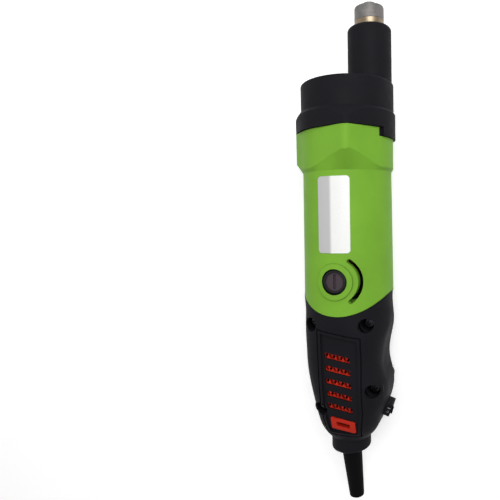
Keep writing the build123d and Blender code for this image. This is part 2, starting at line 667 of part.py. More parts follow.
# Handle: stations as (y, left, right, half thickness, corner radius)
STATIONS = (
    (-95.0, TUBE_REAR_R - 0.1, TUBE_REAR_R - 0.1, TUBE_REAR_R - 0.1, TUBE_REAR_R - 0.3),
    (-107.0, 27.3, 27.5, 27.5, 27.1),
    (-116.0, 26.2, 27.0, 27.0, 22.5),
    (-124.0, 25.1, 25.1, 26.1, 18.4),
    (-132.0, 24.6, 23.5, 25.4, 16.9),
    (-141.0, 24.2, 23.7, 25.0, 16.4),
    (-150.0, 23.1, 25.9, 24.6, 16.4),
    (-160.0, 21.1, 25.6, 23.6, 15.4),
    (-170.0, 19.1, 22.5, 21.9, 14.3),
    (-179.0, 17.0, 19.3, 19.5, 13.3),
    (-185.5, 14.4, 14.8, 15.6, 12.2),
    (COLLAR_START, 13.3, 12.7, 13.0, 12.2),
)
CAVITY_STATIONS = (2, 4, 6, 7, 9, 10)


def handle_form(inset):
    """Outer shape of the handle, drawn in by inset."""
    with BuildPart() as form:
        for y, left, right, half, corner in STATIONS:
            with BuildSketch(across(y)):
                with Locations(((right - left) / 2, 0)):
                    RectangleRounded(left + right - 2 * inset, 2 * (half - inset), corner - inset)
        loft()
    return form.part


def cavity_form(inset):
    """Straight-sided inner shape, inset from the outer shape."""
    with BuildPart() as form:
        for index in CAVITY_STATIONS:
            y, left, right, half, corner = STATIONS[index]
            with BuildSketch(across(y)):
                with Locations(((right - left) / 2, 0)):
                    RectangleRounded(left + right - 2 * inset, 2 * (half - inset), corner - inset)
        loft(ruled=True)
    return form.part


def slanted(x, y, width, height, corner):
    """Front-view parallelogram with upright sides and its top and foot on the vent slant."""
    half = width / 2
    fall = half * math.tan(math.radians(VENT_SLANT))
    with BuildSketch(Plane.XY) as shape:
        with BuildLine():
            Polyline((x - half, y + height / 2 + fall), (x + half, y + height / 2 - fall),
                     (x + half, y - height / 2 - fall), (x - half, y - height / 2 + fall), close=True)
        make_face()
        fillet(shape.vertices(), corner)
    return shape.sketch


def slot_middle(row):
    return (SLOT_X + SLOT_DRIFT * row, SLOT_FIRST - SLOT_PITCH * row)


def slot_rows(grow):
    """Front-view outlines of the vent slots."""
    with BuildSketch(Plane.XY) as rows:
        for row in range(SLOT_COUNT):
            add(slanted(*slot_middle(row), SLOT_W + 2 * grow, SLOT_H + 2 * grow, 0.5))
    return rows.sketch


def window(grow):
    return slanted(WINDOW_X, WINDOW_Y, WINDOW_W + 2 * grow, WINDOW_H + 2 * grow, 0.8)


GUARD_TURN = math.radians(GUARD_LEAN)
GUARD_END = Plane(origin=(0, COLLAR_END, 0), x_dir=(0, 0, 1),
                  z_dir=(math.sin(GUARD_TURN), -math.cos(GUARD_TURN), 0))
SWITCH_TURN = math.radians(SWITCH_SLOPE)
SWITCH_OUT = (math.cos(SWITCH_TURN), -math.sin(SWITCH_TURN), 0)
SWITCH_PLANE = Plane(origin=(SWITCH_X, SWITCH_Y, 0), x_dir=(0, 0, 1), z_dir=SWITCH_OUT)

outer_form = handle_form(0)
panel_floor = handle_form(PANEL_DEPTH)
inner_form = cavity_form(WALL)

def panel_outline(grow):
    """Front-view outline of the vent panel."""
    with BuildSketch(Plane.XY) as panel:
        with BuildLine():
            fall = (PANEL_RIGHT - PANEL_LEFT) / 2 * math.tan(math.radians(VENT_SLANT))
            Polyline((PANEL_LEFT, PANEL_TOP + fall), (PANEL_RIGHT, PANEL_TOP - fall), (PANEL_RIGHT, PANEL_TURN),
                     (PANEL_FOOT_RIGHT, PANEL_FOOT), (PANEL_LEFT + 2.5, PANEL_FOOT),
                     (PANEL_LEFT, PANEL_TURN), close=True)
        make_face()
        offset(amount=grow, kind=Kind.INTERSECTION)
    return panel.sketch


with BuildPart() as panel_border:
    extrude(panel_outline(PANEL_BORDER / 2), amount=2 * TUBE_REAR_R)
    extrude(panel_outline(PANEL_BORDER / 2 - PANEL_GROOVE), amount=2 * TUBE_REAR_R, mode=Mode.SUBTRACT)
    add(panel_floor, mode=Mode.SUBTRACT)

with BuildPart() as panel_cut:
    extrude(panel_outline(-PANEL_BORDER / 2), amount=2 * TUBE_REAR_R)
    add(panel_floor, mode=Mode.SUBTRACT)
    add(panel_border.part)

SCREW_SPOTS = (
    UPPER_RIGHT,
    UPPER_LEFT,
    LOWER_RIGHT,
    LOWER_LEFT,
)


def handle_shell(side, recessed):
    """One half of the handle; side is +1 for the vented front, -1 for the back."""
    keep = Keep.TOP if side > 0 else Keep.BOTTOM
    with BuildPart() as shell:
        add(outer_form)
        with BuildSketch(across(COLLAR_START + 1)):
            Circle(COLLAR_OUT_R)
        extrude(amount=COLLAR_END - COLLAR_START - 4)
        with BuildSketch(GUARD_END):
            Circle(2 * COLLAR_OUT_R)
        extrude(amount=10, mode=Mode.SUBTRACT)
        fillet(shell.faces().sort_by(Axis.Y)[0].edges(), COLLAR_ROUND)
        extrude(tongue_face(SEAM), amount=2 * TUBE_REAR_R, both=True, mode=Mode.SUBTRACT)
        add(inner_form, mode=Mode.SUBTRACT)
        add(rod(SPIGOT_R + 0.2, STATIONS[2][0] - 0.5, STATIONS[0][0] + 1), mode=Mode.SUBTRACT)
        # bosses of the four handle screws
        with BuildSketch(Plane.XY):
            with Locations(LOWER_RIGHT, LOWER_LEFT):
                Circle(RECESS_R + BOSS_WALL - 0.4)
        extrude(amount=side * (RECESS_SEAT + 4))
        with BuildSketch(Plane.XY.offset(side * (RECESS_SEAT - BOSS_WALL))):
            with Locations(*SCREW_SPOTS[:2]):
                Circle(RECESS_R + BOSS_WALL - 1.1)
        extrude(amount=side * (BOSS_WALL + 6))
        # posts of the cord clamp, in the back half only
        if side < 0:
            with BuildSketch(Plane.XY.offset(-CLAMP_POST_Z - 0.05)):
                with Locations((-CLAMP_X, CLAMP_Y), (CLAMP_X, CLAMP_Y)):
                    Circle(2.4)
            extrude(amount=-9)
            with BuildSketch(Plane.XY.offset(-CLAMP_POST_Z - 0.05)):
                with Locations((-CLAMP_X, CLAMP_Y), (CLAMP_X, CLAMP_Y)):
                    Circle(1.27)
            extrude(amount=-6, mode=Mode.SUBTRACT)
        # bore of the cord guard in the collar
        flange_seat = COLLAR_END + 2.6
        add(rod(GUARD_FLANGE_R + 0.2, flange_seat, flange_seat + GUARD_FLANGE_W + 0.2), mode=Mode.SUBTRACT)
        add(rod(GUARD_ROOT_R + 0.2, COLLAR_END - 1, STATIONS[10][0] + 1), mode=Mode.SUBTRACT)
        # seat and opening of the switch
        with BuildSketch(SWITCH_PLANE):
            Rectangle(BEZEL_W + 0.6, BEZEL_L + 0.6)
        extrude(amount=12, mode=Mode.SUBTRACT)
        with BuildSketch(SWITCH_PLANE.offset(1)):
            Rectangle(SWITCH_BODY_W + 0.3, SWITCH_BODY_L + 0.3)
        extrude(amount=-SWITCH_BODY_D - 2, mode=Mode.SUBTRACT)
        # recessed vent panel with its slots and the window
        if side > 0:
            add(panel_cut.part, mode=Mode.SUBTRACT)
            extrude(slot_rows(0), amount=2 * TUBE_REAR_R, mode=Mode.SUBTRACT)
            extrude(window(0), amount=2 * TUBE_REAR_R, mode=Mode.SUBTRACT)
        else:
            add(panel_cut.part.mirror(Plane.XY), mode=Mode.SUBTRACT)
            extrude(slot_rows(0), amount=-2 * TUBE_REAR_R, mode=Mode.SUBTRACT)
            extrude(window(0), amount=-2 * TUBE_REAR_R, mode=Mode.SUBTRACT)
        # screw passages
        with BuildSketch(Plane.XY):
            with Locations(*SCREW_SPOTS):
                Circle(HANDLE_SCREW_R + 0.3 if recessed else HANDLE_SCREW_R + 0.02)
        extrude(amount=side * (RECESS_SEAT + (1 if recessed else 3)), mode=Mode.SUBTRACT)
        if recessed:
            with BuildSketch(Plane.XY.offset(side * RECESS_SEAT)):
                with Locations(*SCREW_SPOTS):
                    Circle(RECESS_R)
            extrude(amount=side * 2 * TUBE_REAR_R, mode=Mode.SUBTRACT)
        split(bisect_by=Plane.XY, keep=keep)
    return shell.part


handle_front = handle_shell(1, True)
handle_back = handle_shell(-1, False)

with BuildPart() as handle_screws:
    with BuildSketch(Plane.XY.offset(RECESS_SEAT + 0.02)):
        with Locations(*SCREW_SPOTS):
            Circle(3.5)
    extrude(amount=2.4)
    fillet(handle_screws.edges().group_by(Axis.Z)[-1], 1.0)
    with BuildSketch(Plane.XY.offset(-RECESS_SEAT - 2.0)):
        with Locations(*SCREW_SPOTS):
            Circle(HANDLE_SCREW_R)
    extrude(amount=2 * RECESS_SEAT + 2.5)
    with BuildSketch(Plane.XY.offset(RECESS_SEAT + 1.0)):
        with Locations(*SCREW_SPOTS):
            Rectangle(4.2, 1.0)
            Rectangle(1.0, 4.2)
    extrude(amount=3, mode=Mode.SUBTRACT)


with BuildPart() as slot_pads:
    extrude(slot_rows(-0.25), amount=2 * TUBE_REAR_R)
    add(handle_form(PANEL_DEPTH + SCREEN_SINK), mode=Mode.INTERSECT)

with BuildPart() as window_frame:
    extrude(window(-0.25), amount=2 * TUBE_REAR_R)
    add(handle_form(PANEL_DEPTH - WINDOW_RISE), mode=Mode.INTERSECT)

PLATE_LOW = WINDOW_Y - WINDOW_H / 2 - 0.6
PLATE_HIGH = SLOT_FIRST + SLOT_H / 2 + 2.4

with BuildPart() as screen_plate:
    with BuildSketch(Plane.XY):
        with Locations((SLOT_X, (PLATE_LOW + PLATE_HIGH) / 2)):
            Rectangle(SLOT_W + 3.0, PLATE_HIGH - PLATE_LOW)
        with Locations((WINDOW_X, WINDOW_Y)):
            Rectangle(WINDOW_W + 2.0, 2 * (WINDOW_Y - PLATE_LOW))
        with Locations(LOWER_LEFT):
            Circle(RECESS_R + SEAM, mode=Mode.SUBTRACT)
    extrude(amount=2 * TUBE_REAR_R)
    add(cavity_form(WALL + SCREEN_GAP), mode=Mode.INTERSECT)

# Screen behind the slots: a plate with pads that stand in the slots, pierced to a zigzag
with BuildPart() as vent_screen_front:
    add(slot_pads.part)
    add(window_frame.part)
    add(screen_plate.part)
    add(cavity_form(WALL + SCREEN_GAP + SCREEN_T), mode=Mode.SUBTRACT)
    with BuildSketch(Plane.XY):
        for row in range(SLOT_COUNT):
            for i in range(MESH_COUNT):
                middle, level = slot_middle(row)
                step = SLOT_W * ((i + 0.5) / MESH_COUNT - 0.5)
                lean = MESH_LEAN if (i + row) % 2 else -MESH_LEAN
                with Locations((middle + step, level - step * math.tan(math.radians(VENT_SLANT)))):
                    Rectangle(MESH_W, SLOT_H - 1.1, rotation=lean)
        add(slanted(WINDOW_X, WINDOW_Y, WINDOW_W - 7.4, 3.0, 0.4))
    extrude(amount=2 * TUBE_REAR_R, mode=Mode.SUBTRACT)

with BuildPart() as vent_screen_back:
    add(vent_screen_front.part.mirror(Plane.XY))

# Switch in the slanted side of the handle
SWITCH_ALONG = (math.sin(SWITCH_TURN), math.cos(SWITCH_TURN), 0)
PIVOT = (SWITCH_X + PIVOT_RISE * SWITCH_OUT[0], SWITCH_Y + PIVOT_RISE * SWITCH_OUT[1], 0)
PIVOT_PLANE = Plane(origin=PIVOT, x_dir=(0, 0, 1), z_dir=SWITCH_ALONG)
PIN_HALF = ROCKER_L / 2 + FREE + PIVOT_REACH

with BuildPart() as switch_body:
    with BuildSketch(SWITCH_PLANE.offset(0.02)):
        RectangleRounded(BEZEL_W, BEZEL_L, 0.8)
    extrude(amount=BEZEL_T)
    with BuildSketch(SWITCH_PLANE.offset(0.1)):
        Rectangle(SWITCH_BODY_W, SWITCH_BODY_L)
    extrude(amount=-SWITCH_BODY_D)
    with BuildSketch(SWITCH_PLANE.offset(-2.0)):
        Rectangle(ROCKER_W + 2 * FREE, ROCKER_L + 2 * FREE)
    extrude(amount=20, mode=Mode.SUBTRACT)
    with BuildSketch(PIVOT_PLANE):
        Circle(PIVOT_R + RUN)
    extrude(amount=PIN_HALF + RUN, both=True, mode=Mode.SUBTRACT)
    with BuildSketch(SWITCH_PLANE.offset(-SWITCH_BODY_D + 1)):
        with Locations((-3.0, 0), (3.0, 0)):
            Rectangle(0.8, 4.8)
    extrude(amount=-6)

ROCKER_TURN = math.radians(ROCKER_THROW / 2)
ROCKER_X = (
    math.sin(ROCKER_TURN) * SWITCH_OUT[0],
    math.sin(ROCKER_TURN) * SWITCH_OUT[1],
    math.cos(ROCKER_TURN),
)

with BuildPart() as switch_rocker:
    with BuildSketch(Plane(origin=PIVOT, x_dir=ROCKER_X, z_dir=SWITCH_ALONG)):
        with BuildLine():
            Polyline(
                (-ROCKER_FOOT_HALF, -ROCKER_FOOT),
                (ROCKER_FOOT_HALF, -ROCKER_FOOT),
                (ROCKER_HALF, ROCKER_TOP),
                (0, ROCKER_DIP),
                (-ROCKER_HALF, ROCKER_TOP),
                close=True,
            )
        make_face()
    extrude(amount=ROCKER_L / 2, both=True)
    with BuildSketch(PIVOT_PLANE):
        Circle(PIVOT_R)
    extrude(amount=PIN_HALF, both=True)

# Cord guard, leaning a little to the switch side, and the cord clamp in front of it
GUARD_PLANE = Plane(origin=(0, COLLAR_END, 0), x_dir=(math.cos(GUARD_TURN), math.sin(GUARD_TURN), 0),
                    z_dir=(0, 0, 1))
GUARD_AXIS = Axis((0, COLLAR_END, 0), (-math.sin(GUARD_TURN), math.cos(GUARD_TURN), 0))
GUARD_BACK = COLLAR_END + 2.7 + GUARD_FLANGE_W - 0.1

with BuildPart() as cord_guard:
    with BuildSketch(GUARD_PLANE):
        with BuildLine():
            Polyline((0, -GUARD_L), (GUARD_TIP_R, -GUARD_L), (GUARD_ROOT_R - 0.2, 0),
                     (GUARD_ROOT_R - 1.4, 1.0), (0, 1.0), close=True)
        make_face()
    revolve(axis=GUARD_AXIS)
    fillet(cord_guard.edges().group_by(Axis.Y)[0], 0.8)
    root_r = GUARD_ROOT_R - 0.8
    add(turned([(0, COLLAR_END - 1), (root_r, COLLAR_END - 1), (root_r, COLLAR_END + 2.7),
                (GUARD_FLANGE_R, COLLAR_END + 2.7), (GUARD_FLANGE_R, GUARD_BACK), (0, GUARD_BACK)]))
    add(rod(CORD_R + 0.6, COLLAR_END + 1.0, GUARD_BACK + 1), mode=Mode.SUBTRACT)
    with BuildSketch(GUARD_PLANE):
        with BuildLine():
            Polyline((0, -GUARD_L - 1), (CORD_R, -GUARD_L - 1), (CORD_R, 1.6), (0, 1.6), close=True)
        make_face()
    revolve(axis=GUARD_AXIS, mode=Mode.SUBTRACT)

with BuildPart() as cord_clamp:
    with BuildSketch(Plane.XY.offset(-CLAMP_POST_Z)):
        with Locations((0, CLAMP_Y)):
            RectangleRounded(2 * CLAMP_X + 5.2, 5.2, 2.4)
        with Locations((-CLAMP_X, CLAMP_Y), (CLAMP_X, CLAMP_Y)):
            Circle(1.5, mode=Mode.SUBTRACT)
    extrude(amount=CLAMP_T)
    with BuildSketch(across(CLAMP_Y - 4)):
        with Locations((0, CLAMP_POST_Z - CLAMP_T - 2.4)):
            Circle(CORD_R)
    extrude(amount=8, mode=Mode.SUBTRACT)

with BuildPart() as cord_clamp_screws:
    with BuildSketch(Plane.XY.offset(-CLAMP_POST_Z + CLAMP_T + 0.02)):
        with Locations((-CLAMP_X, CLAMP_Y), (CLAMP_X, CLAMP_Y)):
            Circle(2.6)
    extrude(amount=1.8)
    with BuildSketch(Plane.XY.offset(-CLAMP_POST_Z + CLAMP_T + 0.1)):
        with Locations((-CLAMP_X, CLAMP_Y), (CLAMP_X, CLAMP_Y)):
            Circle(1.25)
    extrude(amount=-CLAMP_T - 5.0)
    with BuildSketch(Plane.XY.offset(-CLAMP_POST_Z + CLAMP_T + 1.0)):
        with Locations((-CLAMP_X, CLAMP_Y), (CLAMP_X, CLAMP_Y)):
            Rectangle(3.2, 0.7)
            Rectangle(0.7, 3.2)
    extrude(amount=2, mode=Mode.SUBTRACT)

# Suppressor capacitor against the rear wall of the motor housing
with BuildPart() as suppressor_capacitor:
    with BuildSketch(across(-SPIGOT_END - 0.1)):
        RectangleRounded(20, 12, 1)
    extrude(amount=-8)


def place(piece, name):
    """Move a finished piece so that the blade seat is the origin, and save it."""
    moved = Pos(-NOSE_OFFSET, -SEAT_Y, 0) * piece
    moved.label = name
    export_step(moved, "parts/" + name + ".step")


place(gear_head.part, "gear_head")
place(motor_housing.part, "motor_housing")
place(rating_label.part, "rating_label")
place(head_screws.part, "head_screws")
place(bearing_plate.part, "bearing_plate")
place(front_motor_bearing, "front_motor_bearing")
place(rear_motor_bearing, "rear_motor_bearing")
place(rear_bearing_sleeve, "rear_bearing_sleeve")
place(stator_core.part, "stator_core")
place(field_coils.part, "field_coils")
place(fan_baffle, "fan_baffle")
place(motor_shaft.part, "motor_shaft")
place(armature_core.part, "armature_core")
place(armature_winding.part, "armature_winding")
place(commutator.part, "commutator")
place(cooling_fan.part, "cooling_fan")
place(eccentric_bearing.part, "eccentric_bearing")
place(eccentric_clip, "eccentric_clip")
place(brush_holders.part, "brush_holders")
place(carbon_brushes.part, "carbon_brushes")
place(brush_springs.part, "brush_springs")
place(brush_caps.part, "brush_caps")
place(spindle.part, "spindle")
place(blade_flange.part, "blade_flange")
place(nose_bush, "nose_bush")
place(front_spindle_bearing, "front_spindle_bearing")
place(rear_spindle_bearing, "rear_spindle_bearing")
place(bearing_spacer, "bearing_spacer")
place(spindle_clip, "spindle_clip")
place(drive_fork.part, "drive_fork")
place(handle_front, "handle_front")
place(handle_back, "handle_back")
place(handle_screws.part, "handle_screws")
place(vent_screen_front.part, "vent_screen_front")
place(vent_screen_back.part, "vent_screen_back")
place(switch_body.part, "switch_body")
place(switch_rocker.part, "switch_rocker")
place(cord_guard.part, "cord_guard")
place(cord_clamp.part, "cord_clamp")
place(cord_clamp_screws.part, "cord_clamp_screws")
place(suppressor_capacitor.part, "suppressor_capacitor")
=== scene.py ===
import json
import math

import bmesh
import bpy
from mathutils import Matrix, Vector


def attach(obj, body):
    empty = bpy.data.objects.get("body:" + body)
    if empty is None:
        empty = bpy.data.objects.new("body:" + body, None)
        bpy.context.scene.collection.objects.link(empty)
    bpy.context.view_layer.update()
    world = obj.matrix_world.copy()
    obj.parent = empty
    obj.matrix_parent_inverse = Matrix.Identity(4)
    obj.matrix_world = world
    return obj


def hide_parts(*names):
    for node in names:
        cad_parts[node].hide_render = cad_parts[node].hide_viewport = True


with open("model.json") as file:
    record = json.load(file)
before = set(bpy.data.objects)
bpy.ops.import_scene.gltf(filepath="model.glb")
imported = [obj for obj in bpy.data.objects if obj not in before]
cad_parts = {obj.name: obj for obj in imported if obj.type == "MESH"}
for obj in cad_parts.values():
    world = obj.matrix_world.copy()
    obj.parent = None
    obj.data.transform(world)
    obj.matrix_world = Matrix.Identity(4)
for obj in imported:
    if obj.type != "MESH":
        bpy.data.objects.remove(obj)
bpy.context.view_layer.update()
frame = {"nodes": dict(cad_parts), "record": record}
nodes = frame["nodes"]
scene = bpy.context.scene
scene.view_settings.view_transform = "Standard"

# Model frame in millimetres: motor axis on Y, seam of head and tube at y = 0.
MM_PER_METRE = 1000
NOSE_OFFSET = 15.1
SEAT_Y = 72.8
BRUSH_Y = -87.3


def spot(x, y, z):
    """Model millimetres to the shared frame in metres."""
    return Vector(((x - NOSE_OFFSET) / MM_PER_METRE, (y - SEAT_Y) / MM_PER_METRE, z / MM_PER_METRE))


def srgb(r, g, b):
    """A screen colour of 0 to 255 as the linear colour that a shader takes."""
    out = []
    for v in (r, g, b):
        c = v / 255
        out.append(c / 12.92 if c <= 0.04045 else ((c + 0.055) / 1.055) ** 2.4)
    return (*out, 1.0)


class Tree:
    """A small writer for node materials, with object coordinates as its only place input."""

    # Cosines between the face and its rounded normal at which an edge is fully worn and not worn.
    WORN_COS = 0.75
    PLAIN_COS = 0.985

    def __init__(self, name):
        self.mat = bpy.data.materials.new(name)
        self.mat.use_nodes = True
        self.nodes = self.mat.node_tree.nodes
        self.links = self.mat.node_tree.links
        self.shader = self.nodes["Principled BSDF"]
        self.place = self.new("ShaderNodeTexCoord").outputs["Object"]

    def new(self, kind, **values):
        node = self.nodes.new(kind)
        for key, value in values.items():
            setattr(node, key, value)
        return node

    def put(self, source, socket):
        self.links.new(source, socket)

    def shade(self, name, source):
        """Feeds one input of the shader, from a socket or with a plain value."""
        if isinstance(source, (int, float)):
            self.shader.inputs[name].default_value = source
        else:
            self.put(source, self.shader.inputs[name])

    def noise(self, scale, detail=3.0, rough=0.5, stretch=None):
        node = self.new("ShaderNodeTexNoise")
        node.inputs["Scale"].default_value = scale
        node.inputs["Detail"].default_value = detail
        node.inputs["Roughness"].default_value = rough
        source = self.place
        if stretch:
            mapping = self.new("ShaderNodeMapping")
            mapping.inputs["Scale"].default_value = stretch
            self.put(self.place, mapping.inputs["Vector"])
            source = mapping.outputs["Vector"]
        self.put(source, node.inputs["Vector"])
        return node.outputs["Fac"]

    def spread(self, source, low, high, start=0.3, end=0.7):
        """Maps start to low and end to high, clamped; the defaults suit a noise."""
        node = self.new("ShaderNodeMapRange")
        node.inputs["From Min"].default_value = start
        node.inputs["From Max"].default_value = end
        node.inputs["To Min"].default_value = low
        node.inputs["To Max"].default_value = high
        self.put(source, node.inputs["Value"])
        return node.outputs["Result"]

    def math(self, operation, a, b=0.0):
        node = self.new("ShaderNodeMath", operation=operation)
        self.put(a, node.inputs[0])
        if isinstance(b, (int, float)):
            node.inputs[1].default_value = b
        else:
            self.put(b, node.inputs[1])
        return node.outputs[0]

    def blend(self, factor, a, b):
        """Colour a where the factor is 0 and colour b where it is 1."""
        node = self.new("ShaderNodeMix", data_type="RGBA")
        self.put(factor, node.inputs[0])
        for value, socket in ((a, node.inputs[6]), (b, node.inputs[7])):
            if isinstance(value, tuple):
                socket.default_value = value
            else:
                self.put(value, socket)
        return node.outputs[2]

    def rounded(self, radius):
        """Normal with its sharp edges rounded."""
        bevel = self.new("ShaderNodeBevel", samples=6)
        bevel.inputs["Radius"].default_value = radius
        return bevel.outputs["Normal"]

    def edges(self, normal):
        """A mask that is 1 on sharp edges, from the rounded normal."""
        dot = self.new("ShaderNodeVectorMath", operation="DOT_PRODUCT")
        geometry = self.new("ShaderNodeNewGeometry")
        self.put(normal, dot.inputs[0])
        self.put(geometry.outputs["Normal"], dot.inputs[1])
        return self.spread(dot.outputs["Value"], 1.0, 0.0, self.WORN_COS, self.PLAIN_COS)

    def bump(self, height, strength, distance, normal):
        node = self.new("ShaderNodeBump")
        node.inputs["Strength"].default_value = strength
        node.inputs["Distance"].default_value = distance
        self.put(height, node.inputs["Height"])
        self.put(normal, node.inputs["Normal"])
        return node.outputs["Normal"]

    def split(self):
        node = self.new("ShaderNodeSeparateXYZ")
        self.put(self.place, node.inputs[0])
        return node.outputs

    def reach(self, x, y):
        """Distance from a line along Z through a model point, in metres."""
        where = self.split()
        centre = spot(x, y, 0)
        dx = self.math("SUBTRACT", where["X"], centre.x)
        dy = self.math("SUBTRACT", where["Y"], centre.y)
        square = self.math("ADD", self.math("MULTIPLY", dx, dx), self.math("MULTIPLY", dy, dy))
        return self.math("SQRT", square)

    def band(self, distance, start, end, blur):
        """A mask that is 1 between two distances, in millimetres."""
        rise = self.spread(distance, 0.0, 1.0, (start - blur) / MM_PER_METRE, start / MM_PER_METRE)
        fall = self.spread(distance, 1.0, 0.0, end / MM_PER_METRE, (end + blur) / MM_PER_METRE)
        return self.math("MULTIPLY", rise, fall)


# Kinds of material. Radii and depths are in metres, scales of noise in waves to the metre.

MOULDED_EDGE_R = 0.00025
TURNED_EDGE_R = 0.0002


def moulded(name, colour, worn, rough, specular, grain, depth, finish=None):
    """Moulded plastic: mottled colour, fine spark-eroded grain, paler rubbed edges."""
    t = Tree(name)
    normal = t.rounded(MOULDED_EDGE_R)
    mottle = t.noise(55.0, detail=4.0, rough=0.55)
    dark = tuple(c * 0.9 for c in colour[:3]) + (1.0,)
    base = t.blend(t.spread(mottle, 0.0, 1.0), dark, colour)
    rub = t.math("MULTIPLY", t.edges(normal), t.spread(t.noise(420.0), 0.15, 0.6))
    base = t.blend(rub, base, worn)
    if finish:
        base = finish(t, base)
    t.shade("Base Color", base)
    t.shade("Roughness", t.spread(t.noise(160.0, detail=5.0), rough - 0.05, rough + 0.06))
    t.shade("Specular IOR Level", specular)
    t.shade("Normal", t.bump(t.noise(grain, detail=2.0, rough=0.6), 0.35, depth, normal))
    return t.mat


def turned_metal(name, colour, dark, rough, pitch=5200.0):
    """Lathe-turned metal: rings along Y, slight stain, bright edges."""
    t = Tree(name)
    normal = t.rounded(TURNED_EDGE_R)
    rings = t.noise(1.0, rough=0.6, stretch=(120.0, pitch, 120.0))
    stain = t.noise(240.0, detail=4.0)
    base = t.blend(t.spread(stain, 0.0, 1.0), dark, colour)
    pale = tuple(min(1.0, c * 1.3) for c in colour[:3]) + (1.0,)
    t.shade("Base Color", t.blend(t.math("MULTIPLY", t.edges(normal), 0.6), base, pale))
    t.shade("Roughness", t.spread(rings, rough - 0.06, rough + 0.1))
    t.shade("Metallic", 1.0)
    t.shade("Normal", t.bump(rings, 0.3, 0.00004, normal))
    return t.mat


LABEL_FADE_X = (-2.4, -0.8)


def label_film(name):
    """Bare foil label: silver-grey towards one side, white over the rest."""
    t = Tree(name)
    normal = t.rounded(TURNED_EDGE_R)
    left, right = (spot(x, 0, 0).x for x in LABEL_FADE_X)
    ramp = t.spread(t.split()["X"], 0.0, 1.0, left, right)
    base = t.blend(ramp, srgb(186, 185, 186), srgb(238, 238, 236))
    fleck = t.spread(t.noise(900.0), 0.0, 0.05)
    t.shade("Base Color", t.blend(fleck, base, srgb(150, 150, 150)))
    t.shade("Roughness", t.spread(t.noise(300.0, detail=4.0), 0.3, 0.4))
    t.shade("Normal", t.bump(t.noise(700.0, detail=2.0), 0.1, 0.00003, normal))
    return t.mat


# Painted shade round the brush cap and between the strands of the vent screens, and the cap's black rim, in
# model millimetres.

CAP_GAP = (6.6, 7.45)
BOSS_LINE = (10.55, 10.7)
CAP_RIM = (5.35, 9.0)
MESH_FOOT_Y = (-171.5, -170.5)
# Strength of the painted shade between the strands of the vent screens.
STRAND_SHADE_DEPTH = 0.55


def cap_painted_shade(t, base):
    """Painted shade: a dark painted shadow in the gap round the brush cap and a thin painted shade line
    round its boss.
    """
    distance = t.reach(0, BRUSH_Y)
    base = t.blend(t.band(distance, *CAP_GAP, blur=0.15), base, srgb(22, 30, 14))
    line = t.math("MULTIPLY", t.band(distance, *BOSS_LINE, blur=0.35), 0.4)
    return t.blend(line, base, srgb(70, 112, 24))


def cap_rings(t, base):
    """Black rim round the paler disc of the cap."""
    return t.blend(t.band(t.reach(0, BRUSH_Y), *CAP_RIM, blur=0.2), base, srgb(24, 26, 26))


def mesh_painted_shade(t, base):
    """Painted shade: darker streaks between the strands of the vent screens, where shade falls, not on the
    frame below them.
    """
    start, end = (spot(0, y, 0).y for y in MESH_FOOT_Y)
    rows = t.spread(t.split()["Y"], 0.0, STRAND_SHADE_DEPTH, start, end)
    strands = t.noise(1.0, detail=2.0, stretch=(560.0, 150.0, 150.0))
    streak = t.spread(strands, 0.0, 1.0, 0.44, 0.6)
    return t.blend(t.math("MULTIPLY", streak, rows), base, srgb(88, 14, 10))


# Materials.

BLACK = moulded("black_moulding", srgb(26, 25, 29), srgb(44, 44, 48),
                rough=0.6, specular=0.05, grain=2600.0, depth=0.00006)
HEAD = moulded("head_moulding", srgb(26, 25, 29), srgb(46, 46, 50),
               rough=0.6, specular=0.055, grain=2400.0, depth=0.00004)
# The green housing carries painted shade round the brush cap.
GREEN = moulded("green_moulding", srgb(120, 173, 54), srgb(138, 188, 74),
                rough=0.45, specular=0.09, grain=2200.0, depth=0.00004, finish=cap_painted_shade)
# The red vent screens carry painted shade between their strands.
RED = moulded("red_moulding", srgb(190, 43, 27), srgb(206, 74, 52),
              rough=0.42, specular=0.12, grain=2600.0, depth=0.00004, finish=mesh_painted_shade)
RUBBER = moulded("boot_rubber", srgb(9, 8, 10), srgb(24, 24, 26),
                 rough=0.65, specular=0.05, grain=3000.0, depth=0.00005)
LEAD = moulded("lead_jacket", srgb(14, 13, 15), srgb(26, 26, 28),
               rough=0.5, specular=0.1, grain=2000.0, depth=0.00003)
CAP = moulded("cap_bakelite", srgb(68, 58, 64), srgb(84, 78, 82),
              rough=0.4, specular=0.15, grain=2600.0, depth=0.00004, finish=cap_rings)
TAPE = moulded("coil_tape", srgb(34, 28, 25), srgb(52, 44, 40),
               rough=0.6, specular=0.2, grain=1800.0, depth=0.00008)
FAN = moulded("fan_moulding", srgb(120, 120, 122), srgb(170, 170, 172),
              rough=0.5, specular=0.4, grain=2400.0, depth=0.00004)
CARBON = moulded("carbon_block", srgb(42, 42, 43), srgb(80, 80, 82),
                 rough=0.6, specular=0.3, grain=4200.0, depth=0.00006)
FILM = moulded("film_case", srgb(196, 168, 52), srgb(222, 200, 110),
               rough=0.38, specular=0.45, grain=2600.0, depth=0.00003)
INK = moulded("white_ink", srgb(160, 160, 160), srgb(180, 180, 180),
              rough=0.6, specular=0.1, grain=3000.0, depth=0.00002)
SCREW = turned_metal("screw_black", srgb(64, 64, 68), srgb(24, 24, 26), rough=0.2, pitch=2600.0)
STEEL = turned_metal("turned_steel", srgb(132, 128, 125), srgb(112, 108, 105), rough=0.42)
BRASS = turned_metal("turned_brass", srgb(146, 131, 110), srgb(122, 109, 90), rough=0.36)
TIP = turned_metal("tip_steel", srgb(126, 124, 122), srgb(108, 106, 104), rough=0.58, pitch=2400.0)
AGED = turned_metal("aged_copper", srgb(84, 56, 44), srgb(48, 34, 28), rough=0.5, pitch=3000.0)
IRON = turned_metal("laminations", srgb(120, 120, 124), srgb(88, 88, 92), rough=0.5, pitch=9000.0)
LABEL = label_film("label_film")

